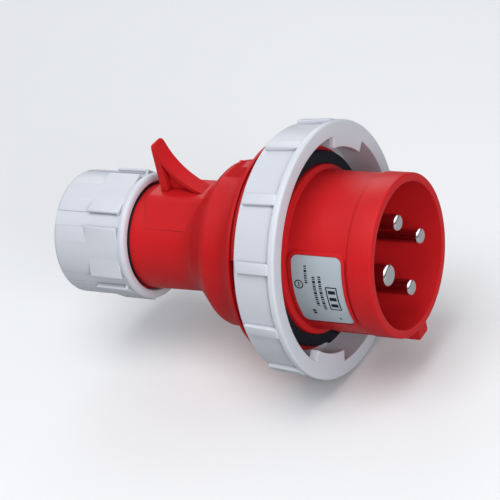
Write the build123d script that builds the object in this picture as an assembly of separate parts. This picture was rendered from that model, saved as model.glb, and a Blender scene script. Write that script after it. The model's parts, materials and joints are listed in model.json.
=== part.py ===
"""Industrial pin and sleeve plug, 32 A, three phases and earth, watertight, straight.

All sizes are in millimetres. +X runs along the plug's axis towards its open front, +Z points from the
axis to the finger hook, and the origin is the centre of the shroud's front rim. The key is at the bottom,
opposite the hook, and the earth pin and the rating label are on the -Y side.
"""
import os
from math import cos, degrees, radians, sin, sqrt, tan

from build123d import *

# Shroud: the collar round the pins
rim_radius = 29.0
rim_wall = 3.0
band_length = 9.0
band_step_length = 0.4
band_rise = 0.7
shroud_depth = 40.0
root_start = 33.0
root_step_length = 0.6
root_length = 5.0
root_rise = 1.4
key_height = 5.2
key_width = 6.2
key_setback = 0.6
key_round = 1.4
key_front_round = 0.8
flange_edge = 0.5
flange_thickness = 3.0
hub_radius = 33.0
spigot_length = 8.0
spigot_wall = 3.0
spigot_step = 1.2
ledge_height = 1.4
ledge_thickness = 5.0

# Rating label and the pad that it lies in
label_start = 11.5
label_length = 19.5
label_angle = 56.0
label_thickness = 0.15
label_gap = 0.02
label_corner = 2.5
pad_margin = 1.4
pad_height = 0.45
pad_root = 0.5

# Face gasket on the flange
gasket_thickness = 3.0
gasket_width = 4.6
gasket_lobe_rise = 1.0
gasket_lobe_angle = 26.0
gasket_round = 0.5
gasket_slot_end = 2.0

# Contacts
pin_circle_radius = 13.2
pin_recess = 1.0
phase_pin_diameter = 6.0
earth_pin_diameter = 8.0
pin_nose_length = 1.4
pin_nose_taper = 0.9
pin_tip_round = 0.25
pin_shoulder_round = 0.5
pin_collar_step = 0.4
barrel_diameter = 10.6
barrel_length = 15.0
wire_bore_diameter = 6.6
wire_bore_depth = 12.0
wire_bore_point = 1.2
terminal_screw_setback = 9.0
terminal_screw_diameter = 4.8
terminal_screw_length = 7.5
terminal_screw_lift = 0.8
terminal_access_gap = 0.6
screw_slot_width = 0.9
screw_slot_depth = 1.3

# Contact carrier and the plate that traps the pins in it
carrier_web = 8.0
carrier_radius = 24.0
relief_radius = 8.0
relief_offset = 2.5
carrier_flange_thickness = 4.0
retainer_thickness = 3.0
retainer_radius = 22.5
wire_hole_diameter = 8.4
centre_screw_diameter = 4.0
centre_screw_head_diameter = 7.4
centre_screw_head_height = 2.6
centre_screw_length = 14.0
carrier_screw_count = 3
carrier_screw_phase = 45.0
carrier_screw_diameter = 2.5
carrier_screw_head_diameter = 4.2
carrier_screw_head_height = 1.8
carrier_screw_reach = 4.0
screw_hole_spare = 0.4
screw_point_height = 0.4
screw_point_length = 1.0
head_round_share = 0.45
recess_depth_share = 0.55
recess_arm_share = 0.3
recess_slot_share = 0.07

# Lock ring
ring_front = 27.6
ring_room = 4.3
ring_wall = 5.5
ring_flange_width = 3.3
ring_groove_depth = 1.3
ring_groove_slope = 0.3
ring_taper = 1.3
ring_lip_thickness = 2.4
rib_count = 12
rib_width = 4.0
rib_height = 0.25
rib_end_setback = 1.5
rib_end_slope = 0.5
rib_bevel = 0.6
rib_side_bevel = 0.4
rib_root = 1.5
rib_phase = 7.5
lug_height = 4.1
lug_thickness = 3.2
lug_ramp = 1.0
lug_angle = 30.0
lug_phase = -33.0
stop_angle = 12.0
stop_height = 1.6
stop_play = 4.0
ring_turn = 50.0

# Rear housing
housing_band_rise = 5.2
ridge_rise = 0.9
ridge_setback = 49.4
ridge_width = 1.2
drum_radius = 30.35
drum_front = 61.0
drum_back = 66.8
drum_corner_radius = 4.5
tail_start = 79.1
tail_radius = 19.0
tail_end_radius = 19.4
tail_flare_radius = 11.5
housing_wall = 2.6
chamber_shift = 2.0
chamber_round = 3.0
tail_bore_radius = 16.2
thread_start = 106.6
thread_radius = 20.0
housing_end = 119.0
notch_angle = 16.0
notch_phase = 74.5
notch_depth = 1.6

# Finger hook and saddle on the rear housing
hook_width = 6.6
hook_tip_x = -94.0
hook_tip_z = 41.0
hook_tip_corner = 2.2
hook_tip_half = 0.6
hook_round = 0.5
hook_root = 2.0
hook_foot_x = -95.0
hook_toe_x = -77.6
hook_sag = 2.9
hook_skin = 1.5
hook_rib = 3.0
hook_web = 2.0
platform_top = 21.6
platform_end = 98.4
platform_side_angle = 50.0
platform_round = 3.6
ramp_foot_x = -72.0
ramp_foot_z = 25.0
ramp_peak_x = -60.6
ramp_peak_z = 34.0
ramp_land_z = 33.0
ramp_base_width = 8.6
ramp_top_width = 2.4
ramp_peak_flat = 0.8
ramp_step_length = 1.0
ramp_shoulder = 0.6

# Cable gland
nut_front = 104.3
nut_length = 31.9
nut_radius = 23.2
nut_bore_clearance = 0.3
nut_lip_radius = 24.0
nut_lip_length = 3.4
nut_lip_round = 1.6
nut_mouth_round = 0.9
nut_back_round = 1.6
nut_pad_count = 6
nut_pad_sag = 0.15
nut_pad_length = 13.4
nut_pad_angle = 46.0
nut_pad_phase = 17.0
nut_pad_overlap = 0.4
nut_pad_bevel = 0.6
nut_end_wall = 4.4
nut_entry_radius = 12.4
nut_entry_bevel = 1.4
nut_cone_clearance = 0.5
nut_channel_depth = 0.3
nut_channel_start = 2.0
cage_radius = 17.4
cage_wall = 3.0
cage_seat = 6.0
cage_tip_radius = 15.6
cage_shoulder = 1.0
cage_tip_thinning = 0.6
finger_count = 8
finger_gap = 1.8
seal_bore_radius = 9.0
seal_setback = 1.0
seal_collar = 1.5
washer_thickness = 1.6
washer_radius = 16.6
oring_section = 1.4
oring_groove_depth = 1.3
spigot_groove_setback = 2.2
tail_groove_setback = 1.6

# Clearances
running_gap = 0.3
slip_gap = 0.2
pin_gap = 0.1

# Edge rounding, and how far a cutter or a joined feature runs past a face
soft_round = 0.8
small_round = 0.3
past = 1.0

# Radii that follow from the collar's rim and hub
band_radius = hub_radius + housing_band_rise
ridge_radius = band_radius + ridge_rise
tube_radius = rim_radius - band_rise
rim_bore_radius = rim_radius - rim_wall
root_radius = rim_radius + root_rise
key_radius = rim_radius + key_height
gasket_radius = root_radius + gasket_width
gasket_lobe_radius = gasket_radius + gasket_lobe_rise
flange_radius = gasket_lobe_radius + flange_edge
ring_bore_radius = flange_radius + ring_room
ring_radius = ring_bore_radius + ring_wall

# Places along the axis that several pieces share
floor_x = -shroud_depth
gasket_back_x = -(root_start + root_length)
flange_back_x = gasket_back_x - flange_thickness
lip_front_x = flange_back_x - running_gap
lip_back_x = lip_front_x - ring_lip_thickness
housing_front_x = lip_back_x - running_gap
spigot_end_x = housing_front_x - spigot_length
ledge_back_x = floor_x - ledge_thickness
barrel_front_x = floor_x - carrier_web
barrel_back_x = barrel_front_x - barrel_length
terminal_x = barrel_back_x + terminal_screw_setback
retainer_back_x = barrel_back_x - retainer_thickness
spigot_radius = hub_radius - spigot_step
pocket_radius = spigot_radius - spigot_wall
thread_bore_radius = thread_radius + nut_bore_clearance
nut_front_x = -nut_front
nut_back_x = nut_front_x - nut_length
nut_seat_x = nut_back_x + nut_end_wall
washer_back_x = nut_seat_x + running_gap
washer_front_x = washer_back_x + washer_thickness
finger_tip_x = washer_front_x + running_gap
cage_front_x = -housing_end + cage_seat
seal_back_x = finger_tip_x + seal_setback
shoulder_x = -housing_end - cage_shoulder
cage_tip_bore = cage_tip_radius - cage_wall + cage_tip_thinning
ring_front_x = -ring_front
ridge_front_x = -ridge_setback
ridge_back_x = ridge_front_x - ridge_width
relief_place = carrier_radius + relief_offset
carrier_flange_x = ledge_back_x - carrier_flange_thickness
carrier_screw_place = pocket_radius - slip_gap - pin_gap - carrier_screw_head_diameter / 2
carrier_screw_turns = [carrier_screw_phase + k * 360 / carrier_screw_count
                       for k in range(carrier_screw_count)]


def turned(*corners):
    """Solid of revolution about X from (x, radius) or (x, radius, rounding) corners."""
    face = make_face(Polyline(*[(c[0], c[1]) for c in corners], close=True))
    for corner in corners:
        if len(corner) == 3:
            vertex = face.vertices().sort_by_distance((corner[0], corner[1], 0))[0]
            face = fillet(vertex, corner[2])
    return revolve(Plane.XZ * face, Axis.X)


def tube(start, end, outer, inner=0.0):
    """Straight tube or disc along X between two places."""
    section = Circle(outer)
    if inner > 0:
        section -= Circle(inner)
    return extrude(Plane.YZ.offset(min(start, end)) * section, abs(end - start))


def sector(start, end, inner, outer, angle, phase=0.0):
    """Part of a tube that spans an angle, with its middle turned by phase from +Z towards -Y."""
    arcs = [CenterArc((0, 0), r, 90 - angle / 2, angle) for r in (inner, outer)]
    sides = [Line(arcs[0] @ end_of_arc, arcs[1] @ end_of_arc) for end_of_arc in (0, 1)]
    section = make_face(arcs + sides)
    return Rot(X=phase) * extrude(Plane.YZ.offset(min(start, end)) * section, abs(end - start))


def upright(x, radius, bottom, top, phase=0.0):
    """Round rod that points away from the axis, between two distances from it."""
    rod = Pos(x, 0, bottom) * Cylinder(radius, top - bottom, align=(Align.CENTER, Align.CENTER, Align.MIN))
    return Rot(X=phase) * rod


def block(x_low, x_high, y_low, y_high, z_low, z_high):
    """Box between its low and high corners."""
    size = (x_high - x_low, y_high - y_low, z_high - z_low)
    return Pos(x_low, y_low, z_low) * Box(*size, align=(Align.MIN, Align.MIN, Align.MIN))


def slab(points, width):
    """Outline in the XZ plane, given as a face, made as wide as width about Y = 0."""
    return extrude(Plane.XZ * points, width / 2, both=True)


def oring_groove(back_x, radius):
    """Square groove round a cylinder, to be cut from it."""
    return tube(back_x, back_x + oring_section + slip_gap, radius + past, radius - oring_groove_depth)


def groove_ring(back_x, radius):
    """Rubber ring that lies in an oring_groove."""
    middle = (back_x + (oring_section + slip_gap) / 2, radius - oring_groove_depth + oring_section / 2)
    return revolve(Plane.XZ * (Pos(*middle) * Circle(oring_section / 2)), Axis.X)


def shroud():
    """Collar with its key, label pad, gasket flange, ring hub and rear spigot, in one moulding."""
    body = turned(
        (0, rim_bore_radius, small_round), (0, rim_radius, soft_round), (-band_length, rim_radius),
        (-band_length - band_step_length, tube_radius), (-root_start, tube_radius, soft_round),
        (-root_start - root_step_length, root_radius, soft_round), (gasket_back_x, root_radius),
        (gasket_back_x, flange_radius, small_round), (flange_back_x, flange_radius, small_round),
        (flange_back_x, hub_radius), (housing_front_x, hub_radius), (housing_front_x, spigot_radius),
        (spigot_end_x, spigot_radius, small_round), (spigot_end_x, pocket_radius),
        (ledge_back_x, pocket_radius),
        (ledge_back_x, rim_bore_radius - ledge_height), (floor_x, rim_bore_radius - ledge_height),
        (floor_x, rim_bore_radius))
    key = block(gasket_back_x, -key_setback, -key_width / 2, key_width / 2, tube_radius - past, key_radius)
    key = fillet(key.edges().filter_by(Axis.X).sort_by(Axis.Z)[-2:], key_round)
    key = fillet(key.faces().sort_by(Axis.X)[-1].edges().sort_by(Axis.Z)[-1:], key_front_round)
    body += Rot(X=180) * key
    body += label_frame()
    body -= oring_groove(spigot_end_x + spigot_groove_setback, spigot_radius)
    body -= sector(housing_front_x, flange_back_x, hub_radius - stop_height - running_gap,
                   hub_radius + past, ring_turn + stop_angle + stop_play, lug_phase + 90 + ring_turn / 2)
    for phase in carrier_screw_turns:
        body -= carrier_screw_hole(phase)
    return body


def label_frame():
    """Raised border round the place of the label on the camera side of the shroud."""
    border = degrees_on(tube_radius, pad_margin)
    outer = sector(-label_start + pad_margin, -label_start - label_length - pad_margin,
                   tube_radius - pad_root, tube_radius + pad_height, label_angle + 2 * border, 90)
    inner = sector(-label_start + slip_gap, -label_start - label_length - slip_gap,
                   tube_radius, tube_radius + past, label_angle + 2 * degrees_on(tube_radius, slip_gap), 90)
    return outer - inner


def degrees_on(radius, arc):
    """Angle in degrees that an arc length takes on a radius."""
    return degrees(arc / radius)


def carrier_screw_hole(phase):
    """Blind hole in the ledge for one screw of the contact carrier."""
    length = carrier_screw_reach + screw_hole_spare
    hole = tube(ledge_back_x, ledge_back_x + length, carrier_screw_diameter / 2 + pin_gap)
    return Rot(X=phase) * Pos(0, 0, carrier_screw_place) * hole


def rating_label():
    """Thin silver label, bent to the shroud and bare of print."""
    label = sector(-label_start, -label_start - label_length, tube_radius + label_gap,
                   tube_radius + label_gap + label_thickness, label_angle, 90)
    corners = [e for e in label.edges() if e.length < 2 * label_thickness]
    return fillet(corners, label_corner)


def face_gasket():
    """Rubber ring on the flange, with a lobe round the foot of the key."""
    front = gasket_back_x + gasket_thickness
    inner = root_radius + slip_gap
    ring = tube(gasket_back_x, front, gasket_radius, inner)
    ring += sector(gasket_back_x, front, inner, gasket_lobe_radius, gasket_lobe_angle, 180)
    slot_half = key_width / 2 + slip_gap
    ring -= block(gasket_back_x - past, front + past, -slot_half, slot_half, -key_radius - slip_gap,
                  -inner + gasket_slot_end)
    edges = ring.faces().sort_by(Axis.X)[-1].outer_wire().edges()
    return fillet(edges, gasket_round)


def pin(diameter):
    """Contact pin with a bevelled nose, a thicker neck in the carrier, and the wire's barrel."""
    radius = diameter / 2
    body = turned((-pin_recess, 0), (-pin_recess, radius - pin_nose_taper, pin_tip_round),
                  (-pin_recess - pin_nose_length, radius, pin_shoulder_round), (floor_x, radius),
                  (floor_x, radius + pin_collar_step), (barrel_front_x, radius + pin_collar_step),
                  (barrel_front_x, barrel_diameter / 2, small_round),
                  (barrel_back_x, barrel_diameter / 2, small_round),
                  (barrel_back_x, wire_bore_diameter / 2),
                  (barrel_back_x + wire_bore_depth, wire_bore_diameter / 2),
                  (barrel_back_x + wire_bore_depth + wire_bore_point, 0))
    return Pos(0, 0, pin_circle_radius) * body


def terminal_pin(diameter, phase):
    """Pin at its place, with the side hole of its terminal screw."""
    hole = upright(terminal_x, terminal_screw_diameter / 2 + pin_gap, pin_circle_radius,
                   pin_circle_radius + barrel_diameter)
    return Rot(X=phase) * (pin(diameter) - hole)


def terminal_screw(phase):
    """Slotted headless screw that clamps the wire in a barrel."""
    bottom = pin_circle_radius + terminal_screw_lift
    top = bottom + terminal_screw_length
    screw = upright(terminal_x, terminal_screw_diameter / 2, bottom, top)
    slot = block(terminal_x - screw_slot_width / 2, terminal_x + screw_slot_width / 2,
                 -terminal_screw_diameter, terminal_screw_diameter, top - screw_slot_depth, top + past)
    return Rot(X=phase) * (screw - slot)


def contact_carrier():
    """Insulating insert that forms the floor of the shroud and holds the four pins."""
    body = tube(floor_x, ledge_back_x, rim_bore_radius - ledge_height - slip_gap)
    body += tube(ledge_back_x, carrier_flange_x, pocket_radius - slip_gap)
    body += tube(carrier_flange_x, barrel_back_x, carrier_radius)
    for phase, diameter in pins():
        place = Rot(X=phase) * Pos(0, 0, pin_circle_radius)
        body -= place * tube(floor_x + past, barrel_back_x, diameter / 2 + pin_collar_step + pin_gap)
        body -= place * tube(barrel_front_x, barrel_back_x - past, barrel_diameter / 2 + pin_gap)
        body -= upright(terminal_x, terminal_screw_diameter / 2 + terminal_access_gap, pin_circle_radius,
                        carrier_radius + past, phase)
        body -= side_relief(phase + 45)
    centre = centre_screw_diameter / 2 + pin_gap
    body -= tube(barrel_back_x - past, barrel_back_x + centre_screw_length + screw_hole_spare, centre)
    for phase in carrier_screw_turns:
        place = Rot(X=phase) * Pos(0, 0, carrier_screw_place)
        body -= place * tube(floor_x, carrier_flange_x - past, carrier_screw_diameter / 2 + pin_gap)
        body -= place * tube(carrier_flange_x + carrier_screw_head_height, barrel_back_x - past,
                             carrier_screw_head_diameter / 2 + slip_gap)
    return body


def side_relief(phase):
    """Round-bottomed channel between two towers of the carrier, which the retainer plate shares."""
    channel = tube(carrier_flange_x, retainer_back_x - past, relief_radius)
    return Rot(X=phase) * Pos(0, 0, relief_place) * channel


def pins():
    """Angles and diameters of the pins: three phases and the thicker earth pin."""
    return [(0, phase_pin_diameter), (90, earth_pin_diameter), (180, phase_pin_diameter),
            (270, phase_pin_diameter)]


def pin_retainer():
    """Plate behind the carrier that traps the barrels and lets the wires in."""
    plate = tube(barrel_back_x, retainer_back_x, retainer_radius)
    for phase, _ in pins():
        hole = tube(barrel_back_x + past, retainer_back_x - past, wire_hole_diameter / 2)
        plate -= Rot(X=phase) * Pos(0, 0, pin_circle_radius) * hole
        plate -= side_relief(phase + 45)
    plate -= tube(barrel_back_x + past, retainer_back_x - past, centre_screw_diameter / 2 + pin_gap)
    return plate


def headed_screw(head_x, length, diameter, head_diameter, head_height):
    """Pan-head screw with a cross recess, pointing to +X with its head's seat at head_x."""
    point = head_x + length
    back = head_x - head_height
    screw = turned((point, 0), (point, diameter / 2 - screw_point_height),
                   (point - screw_point_length, diameter / 2), (head_x, diameter / 2),
                   (head_x, head_diameter / 2),
                   (back, head_diameter / 2, head_height * head_round_share), (back, 0))
    bottom = back + head_height * recess_depth_share
    arm = head_diameter * recess_arm_share
    slot = head_diameter * recess_slot_share
    screw -= block(back - past, bottom, -arm, arm, -slot, slot)
    screw -= block(back - past, bottom, -slot, slot, -arm, arm)
    return screw


def retainer_screw():
    """Screw in the middle of the retainer plate."""
    return headed_screw(retainer_back_x, centre_screw_length, centre_screw_diameter,
                        centre_screw_head_diameter, centre_screw_head_height)


def carrier_screws():
    """Three screws that hold the carrier's flange against the shroud's ledge."""
    seat = carrier_flange_x + carrier_screw_head_height
    length = ledge_back_x + carrier_screw_reach - seat
    screw = headed_screw(seat, length, carrier_screw_diameter, carrier_screw_head_diameter,
                         carrier_screw_head_height)
    return Compound([Rot(X=phase) * Pos(0, 0, carrier_screw_place) * screw
                     for phase in carrier_screw_turns])


def lock_ring():
    """Bayonet ring: grip ribs outside, two ramped lugs inside its mouth, a bearing lip at its back."""
    groove_radius = ring_radius - ring_groove_depth
    back_radius = groove_radius - ring_taper
    groove_x = ring_front_x - ring_flange_width
    body = turned((ring_front_x, ring_bore_radius, small_round), (ring_front_x, ring_radius, soft_round),
                  (groove_x, ring_radius, small_round), (groove_x - ring_groove_slope, groove_radius),
                  (lip_back_x, back_radius, soft_round), (lip_back_x, hub_radius + running_gap),
                  (lip_front_x, hub_radius + running_gap), (lip_front_x, ring_bore_radius))
    for k in range(rib_count):
        body += Rot(X=rib_phase + k * 360 / rib_count) * ring_rib(groove_x, groove_radius, back_radius)
    for phase in (lug_phase, lug_phase + 180):
        body += lug(phase)
    stop_phase = lug_phase + 90
    body += sector(lip_front_x, lip_back_x, hub_radius - stop_height, hub_radius + past, stop_angle,
                   stop_phase)
    return body


def ring_rib(front_x, front_radius, back_radius):
    """One grip rib on the top of the ring, which follows its taper."""
    end_x = lip_back_x + rib_end_setback
    rise = ring_groove_depth + rib_height
    slope = (front_radius - back_radius) / (front_x - ring_groove_slope - lip_back_x)
    end_radius = back_radius + slope * rib_end_setback
    end_top = end_radius + rise
    outline = make_face(Polyline(
        (front_x + rib_bevel, front_radius - rib_root), (front_x + rib_bevel, ring_radius - rib_bevel),
        (front_x, front_radius + rise), (end_x + rib_end_slope, end_top), (end_x, end_top - rib_bevel),
        (end_x, end_radius - rib_root), close=True))
    rib = slab(outline, rib_width)
    top = rib.faces().sort_by(Axis.Z)[-1]
    return chamfer(top.edges().filter_by(Plane.XZ), rib_side_bevel)


def lug(phase):
    """Bayonet lug in the ring's mouth, flush with its front, with a ramp on its back face."""
    inner = ring_bore_radius - lug_height
    back = ring_front_x - lug_thickness
    body = sector(ring_front_x, back, inner, ring_bore_radius + past, lug_angle)
    half = ring_bore_radius * sin(radians(lug_angle / 2)) + past
    ramp = make_face(Polyline((-half, back - past), (-half, back + lug_ramp), (half, back),
                              (half, back - past), close=True))
    # The ramp's outline has Y along its first direction and X along its second.
    cutter = extrude(Plane(origin=(0, 0, 0), x_dir=(0, 1, 0), z_dir=(0, 0, -1)) * ramp, -2 * ring_radius)
    return Rot(X=phase) * (body - cutter)


def housing_o_ring():
    """Seal between the shroud's spigot and the rear housing."""
    return groove_ring(spigot_end_x + spigot_groove_setback, spigot_radius)


def housing_outside():
    """Turned outside of the rear housing: band, ridge, flare, drum and threaded tail, still solid."""
    rise = ridge_radius - drum_radius
    run = drum_front + ridge_back_x
    flare_radius = (run * run + rise * rise) / (2 * rise)
    middle_r = drum_radius + flare_radius - sqrt(flare_radius ** 2 - (run / 2) ** 2)
    lines = [
        Polyline((-drum_front, 0), (housing_front_x, 0), (housing_front_x, band_radius),
                 (ridge_front_x, band_radius), (ridge_front_x, ridge_radius), (ridge_back_x, ridge_radius)),
        ThreePointArc((ridge_back_x, ridge_radius), (-drum_front + run / 2, middle_r),
                      (-drum_front, drum_radius)),
        Polyline((-drum_front, drum_radius), (-drum_back, drum_radius), (-tail_start, tail_radius),
                 (nut_front_x, tail_end_radius), (-thread_start, tail_end_radius),
                 (-thread_start, thread_radius), (-housing_end, thread_radius), (-housing_end, 0),
                 (-drum_front, 0)),
    ]
    face = make_face([edge for line in lines for edge in line.edges()])
    rounds = ((-drum_back, drum_radius, drum_corner_radius), (-tail_start, tail_radius, tail_flare_radius),
              (ridge_front_x, ridge_radius, small_round), (ridge_back_x, ridge_radius, small_round),
              (-housing_end, thread_radius, small_round))
    for x, radius, rounding in rounds:
        vertex = face.vertices().sort_by_distance((x, radius, 0))[0]
        face = fillet(vertex, rounding)
    return revolve(Plane.XZ * face, Axis.X)


def housing_cavity():
    """Turned space inside the rear housing: spigot bore, wiring chamber, tail bore and cage seat."""
    chamber_radius = drum_radius - housing_wall
    spigot_bore = spigot_radius + slip_gap
    seat = cage_radius + slip_gap
    front = housing_front_x + past
    back = -housing_end - past
    return turned((front, 0), (front, spigot_bore), (spigot_end_x - past, spigot_bore),
                  (-drum_front + chamber_shift, chamber_radius, chamber_round),
                  (-drum_back + chamber_shift, chamber_radius, chamber_round),
                  (-tail_start - chamber_shift, tail_bore_radius, 2 * chamber_round),
                  (cage_front_x, tail_bore_radius), (cage_front_x, seat), (back, seat), (back, 0))


def rear_housing():
    """Bell that closes the back of the plug, with the finger hook and the gland's threaded tail."""
    body = housing_outside() + platform() + finger_hook() + saddle_ramp()
    body -= housing_cavity()
    body -= oring_groove(nut_front_x - tail_groove_setback, tail_end_radius)
    body -= sector(ridge_front_x, housing_front_x + past, band_radius - notch_depth, band_radius + past,
                   notch_angle, notch_phase)
    return body


def platform():
    """Raised flat that carries the hook, with sides that run out on the tail."""
    slope = radians(platform_side_angle)
    side_y = (tail_end_radius - platform_top * cos(slope)) / sin(slope)
    touch = (tail_end_radius * sin(slope), tail_end_radius * cos(slope))
    section = make_face(Polyline((-touch[0], touch[1]), (-side_y, platform_top), (side_y, platform_top),
                                 touch, close=True))
    body = extrude(Plane.YZ.offset(-platform_end) * section, platform_end + ramp_foot_x)
    return fillet(body.edges().filter_by(Axis.X).sort_by(Axis.Z)[-2:], platform_round)


def hook_curve(inset=0.0):
    """End and middle points of the hook's concave front, moved into the hook by inset."""
    tip = (hook_tip_x + hook_tip_half, hook_tip_z)
    toe = (hook_toe_x, platform_top)
    run = toe[0] - tip[0]
    fall = toe[1] - tip[1]
    length = sqrt(run * run + fall * fall)
    out = (fall / length, -run / length)
    middle = ((tip[0] + toe[0]) / 2 + out[0] * hook_sag, (tip[1] + toe[1]) / 2 + out[1] * hook_sag)
    return [(p[0] + out[0] * inset, p[1] + out[1] * inset) for p in (tip, middle, toe)]


def finger_hook():
    """Hook for the finger that pulls the plug: a thin curved skin, a back rib and a web between them."""
    tip, middle, toe = hook_curve()
    foot = (hook_foot_x, platform_top)
    back_tip = (hook_tip_x - hook_tip_half, hook_tip_z - hook_tip_half)
    root = platform_top - hook_root
    sunk_toe = (toe[0] + hook_root, root)
    outline = make_face([
        ThreePointArc(tip, middle, toe), Line(toe, sunk_toe), Line(sunk_toe, (foot[0], root)),
        Line((foot[0], root), foot), Line(foot, back_tip), Line(back_tip, tip)])
    hook = slab(outline, hook_width)
    hook = fillet(hook.edges().filter_by(Axis.Y).sort_by(Axis.Z)[-2:], hook_round)
    hook &= hook_tab(root, toe[0] + past)
    low_tip, low_middle, low_toe = hook_curve(hook_skin)
    corner = (low_tip[0], low_toe[1])
    under_skin = make_face([ThreePointArc(low_tip, low_middle, low_toe), Line(low_toe, corner),
                            Line(corner, low_tip)])
    pocket = slab(under_skin, hook_width + past) - slab(under_skin, hook_web)
    return hook - split(pocket, Plane.YZ.offset(hook_foot_x + hook_rib), keep=Keep.TOP)


def hook_tab(bottom, front_x):
    """Plate across the axis with rounded top corners, which gives the hook's tip its shape."""
    half = hook_width / 2
    outline = make_face(Polyline((-half, bottom), (-half, hook_tip_z), (half, hook_tip_z), (half, bottom),
                                 close=True))
    outline = fillet(outline.vertices().sort_by(Axis.Y)[-2:], hook_tip_corner)
    back_x = hook_foot_x - past
    return extrude(Plane.YZ.offset(back_x) * outline, front_x + hook_root - back_x)


def saddle_ramp():
    """Small wedge on the drum's top that stops the finger in front of the saddle."""
    flat_x = ramp_peak_x + ramp_peak_flat
    outline = make_face(Polyline((ramp_foot_x, ramp_foot_z), (ramp_peak_x, ramp_peak_z),
                                 (flat_x, ramp_peak_z), (flat_x + ramp_step_length, ramp_land_z),
                                 (ridge_back_x, ramp_land_z), (ridge_back_x, ramp_foot_z), close=True))
    half_base = ramp_base_width / 2
    half_top = ramp_top_width / 2
    bottom = ramp_foot_z - past
    shoulder = drum_radius - ramp_shoulder
    section = make_face(Polyline((-half_base, bottom), (-half_base, shoulder), (-half_top, ramp_peak_z),
                                 (half_top, ramp_peak_z), (half_base, shoulder), (half_base, bottom),
                                 close=True))
    roof = extrude(Plane.YZ.offset(ramp_foot_x) * section, ridge_back_x - ramp_foot_x)
    return slab(outline, ramp_base_width) & roof


def gland_o_ring():
    """Seal in the groove of the tail, just inside the nut's mouth."""
    return groove_ring(nut_front_x - tail_groove_setback, tail_end_radius)


def gland_cage():
    """Ring of springy fingers that the nut's cone presses on the seal."""
    body = turned((cage_front_x, cage_radius - cage_wall), (cage_front_x, cage_radius),
                  (shoulder_x, cage_radius, small_round), (finger_tip_x, cage_tip_radius, soft_round),
                  (finger_tip_x, cage_tip_bore, soft_round), (shoulder_x, cage_radius - cage_wall))
    for k in range(finger_count):
        slot = block(finger_tip_x - past, -housing_end, -finger_gap / 2, finger_gap / 2, 0,
                     cage_radius + past)
        body -= Rot(X=(k + 0.5) * 360 / finger_count) * slot
    return body


def gland_seal():
    """Rubber sleeve round the cable, inside the cage."""
    front_x = cage_front_x + seal_collar
    collar_radius = tail_bore_radius - slip_gap
    outer = cage_radius - cage_wall - slip_gap
    return turned((front_x, seal_bore_radius, soft_round), (front_x, collar_radius, small_round),
                  (cage_front_x + slip_gap, collar_radius), (cage_front_x + slip_gap, outer),
                  (shoulder_x, outer), (seal_back_x, cage_tip_bore - slip_gap, small_round),
                  (seal_back_x, seal_bore_radius, soft_round))


def gland_washer():
    """Slip ring between the nut's end wall and the fingers, so that they don't twist with the nut."""
    corners = [(x, radius, small_round) for x, radius in (
        (washer_front_x, nut_entry_radius), (washer_front_x, washer_radius),
        (washer_back_x, washer_radius), (washer_back_x, nut_entry_radius))]
    return turned(*corners)


def gland_nut():
    """Large gland nut with a smooth lip, six grip pads and a cable entry."""
    pad_back_x = nut_front_x - nut_lip_length - nut_pad_length
    cone_radius = washer_radius + nut_cone_clearance
    body = turned((nut_front_x, thread_bore_radius, nut_mouth_round),
                  (nut_front_x, nut_lip_radius, nut_lip_round),
                  (nut_front_x - nut_lip_length, nut_radius, soft_round),
                  (nut_back_x, nut_radius, nut_back_round),
                  (nut_back_x, nut_entry_radius + nut_entry_bevel),
                  (nut_back_x + nut_entry_bevel, nut_entry_radius), (nut_seat_x, nut_entry_radius),
                  (nut_seat_x, cone_radius), (washer_front_x, cone_radius),
                  (shoulder_x, thread_bore_radius))
    for k in range(nut_pad_count):
        phase = nut_pad_phase + k * 360 / nut_pad_count
        body += nut_pad(pad_back_x, phase)
        body -= nut_channel(phase + 180 / nut_pad_count)
    return body


def nut_channel(phase):
    """Shallow channel between two pads, which runs on towards the nut's back edge."""
    angle = 360 / nut_pad_count - nut_pad_angle
    return sector(nut_back_x + nut_channel_start, nut_front_x - nut_lip_length - soft_round,
                  nut_radius - nut_channel_depth, nut_radius + past, angle, phase)


def nut_pad(back_x, phase):
    """Spanner flat on the front half of the nut, a little below its round surface in the middle."""
    front_x = nut_front_x - nut_lip_length + nut_pad_overlap
    top = nut_radius - nut_pad_sag
    half = top * tan(radians(nut_pad_angle / 2))
    pad = block(back_x, front_x, -half, half, 0, top)
    pad = chamfer(pad.faces().sort_by(Axis.Z)[-1].edges(), nut_pad_bevel)
    return Rot(X=phase) * (pad - tube(back_x - past, front_x + past, nut_radius - past))


def build():
    """Every piece under its node's name."""
    pieces = {
        "shroud": shroud(),
        "rating_label": rating_label(),
        "face_gasket": face_gasket(),
        "contact_carrier": contact_carrier(),
        "carrier_screws": carrier_screws(),
        "pin_retainer": pin_retainer(),
        "retainer_screw": retainer_screw(),
        "lock_ring": lock_ring(),
        "housing_o_ring": housing_o_ring(),
        "rear_housing": rear_housing(),
        "gland_o_ring": gland_o_ring(),
        "gland_cage": gland_cage(),
        "gland_seal": gland_seal(),
        "gland_washer": gland_washer(),
        "gland_nut": gland_nut(),
    }
    for name, (phase, diameter) in zip(("l1", "earth", "l2", "l3"), pins()):
        pieces["pin_" + name] = terminal_pin(diameter, phase)
        pieces["terminal_screw_" + name] = terminal_screw(phase)
    return pieces


os.makedirs("parts", exist_ok=True)
for node, solid in build().items():
    solid.label = node
    export_step(solid, "parts/" + node + ".step")
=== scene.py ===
"""Looks of a watertight industrial plug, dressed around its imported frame.

The plug's axis is X, with the open front towards +X; +Z points to the finger hook. Lengths are in
millimetres unless a class says metres, and a mesh gets its metres when it is finished. PAST is how far a
cutter or a joined form runs past a face, and NEAR the slack with which places are compared.
"""

import json
import logging
import math
from dataclasses import dataclass
from enum import Enum
from typing import Dict, List, Optional, Sequence, Tuple

import bmesh
import bpy
from mathutils import Matrix, Vector


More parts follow.
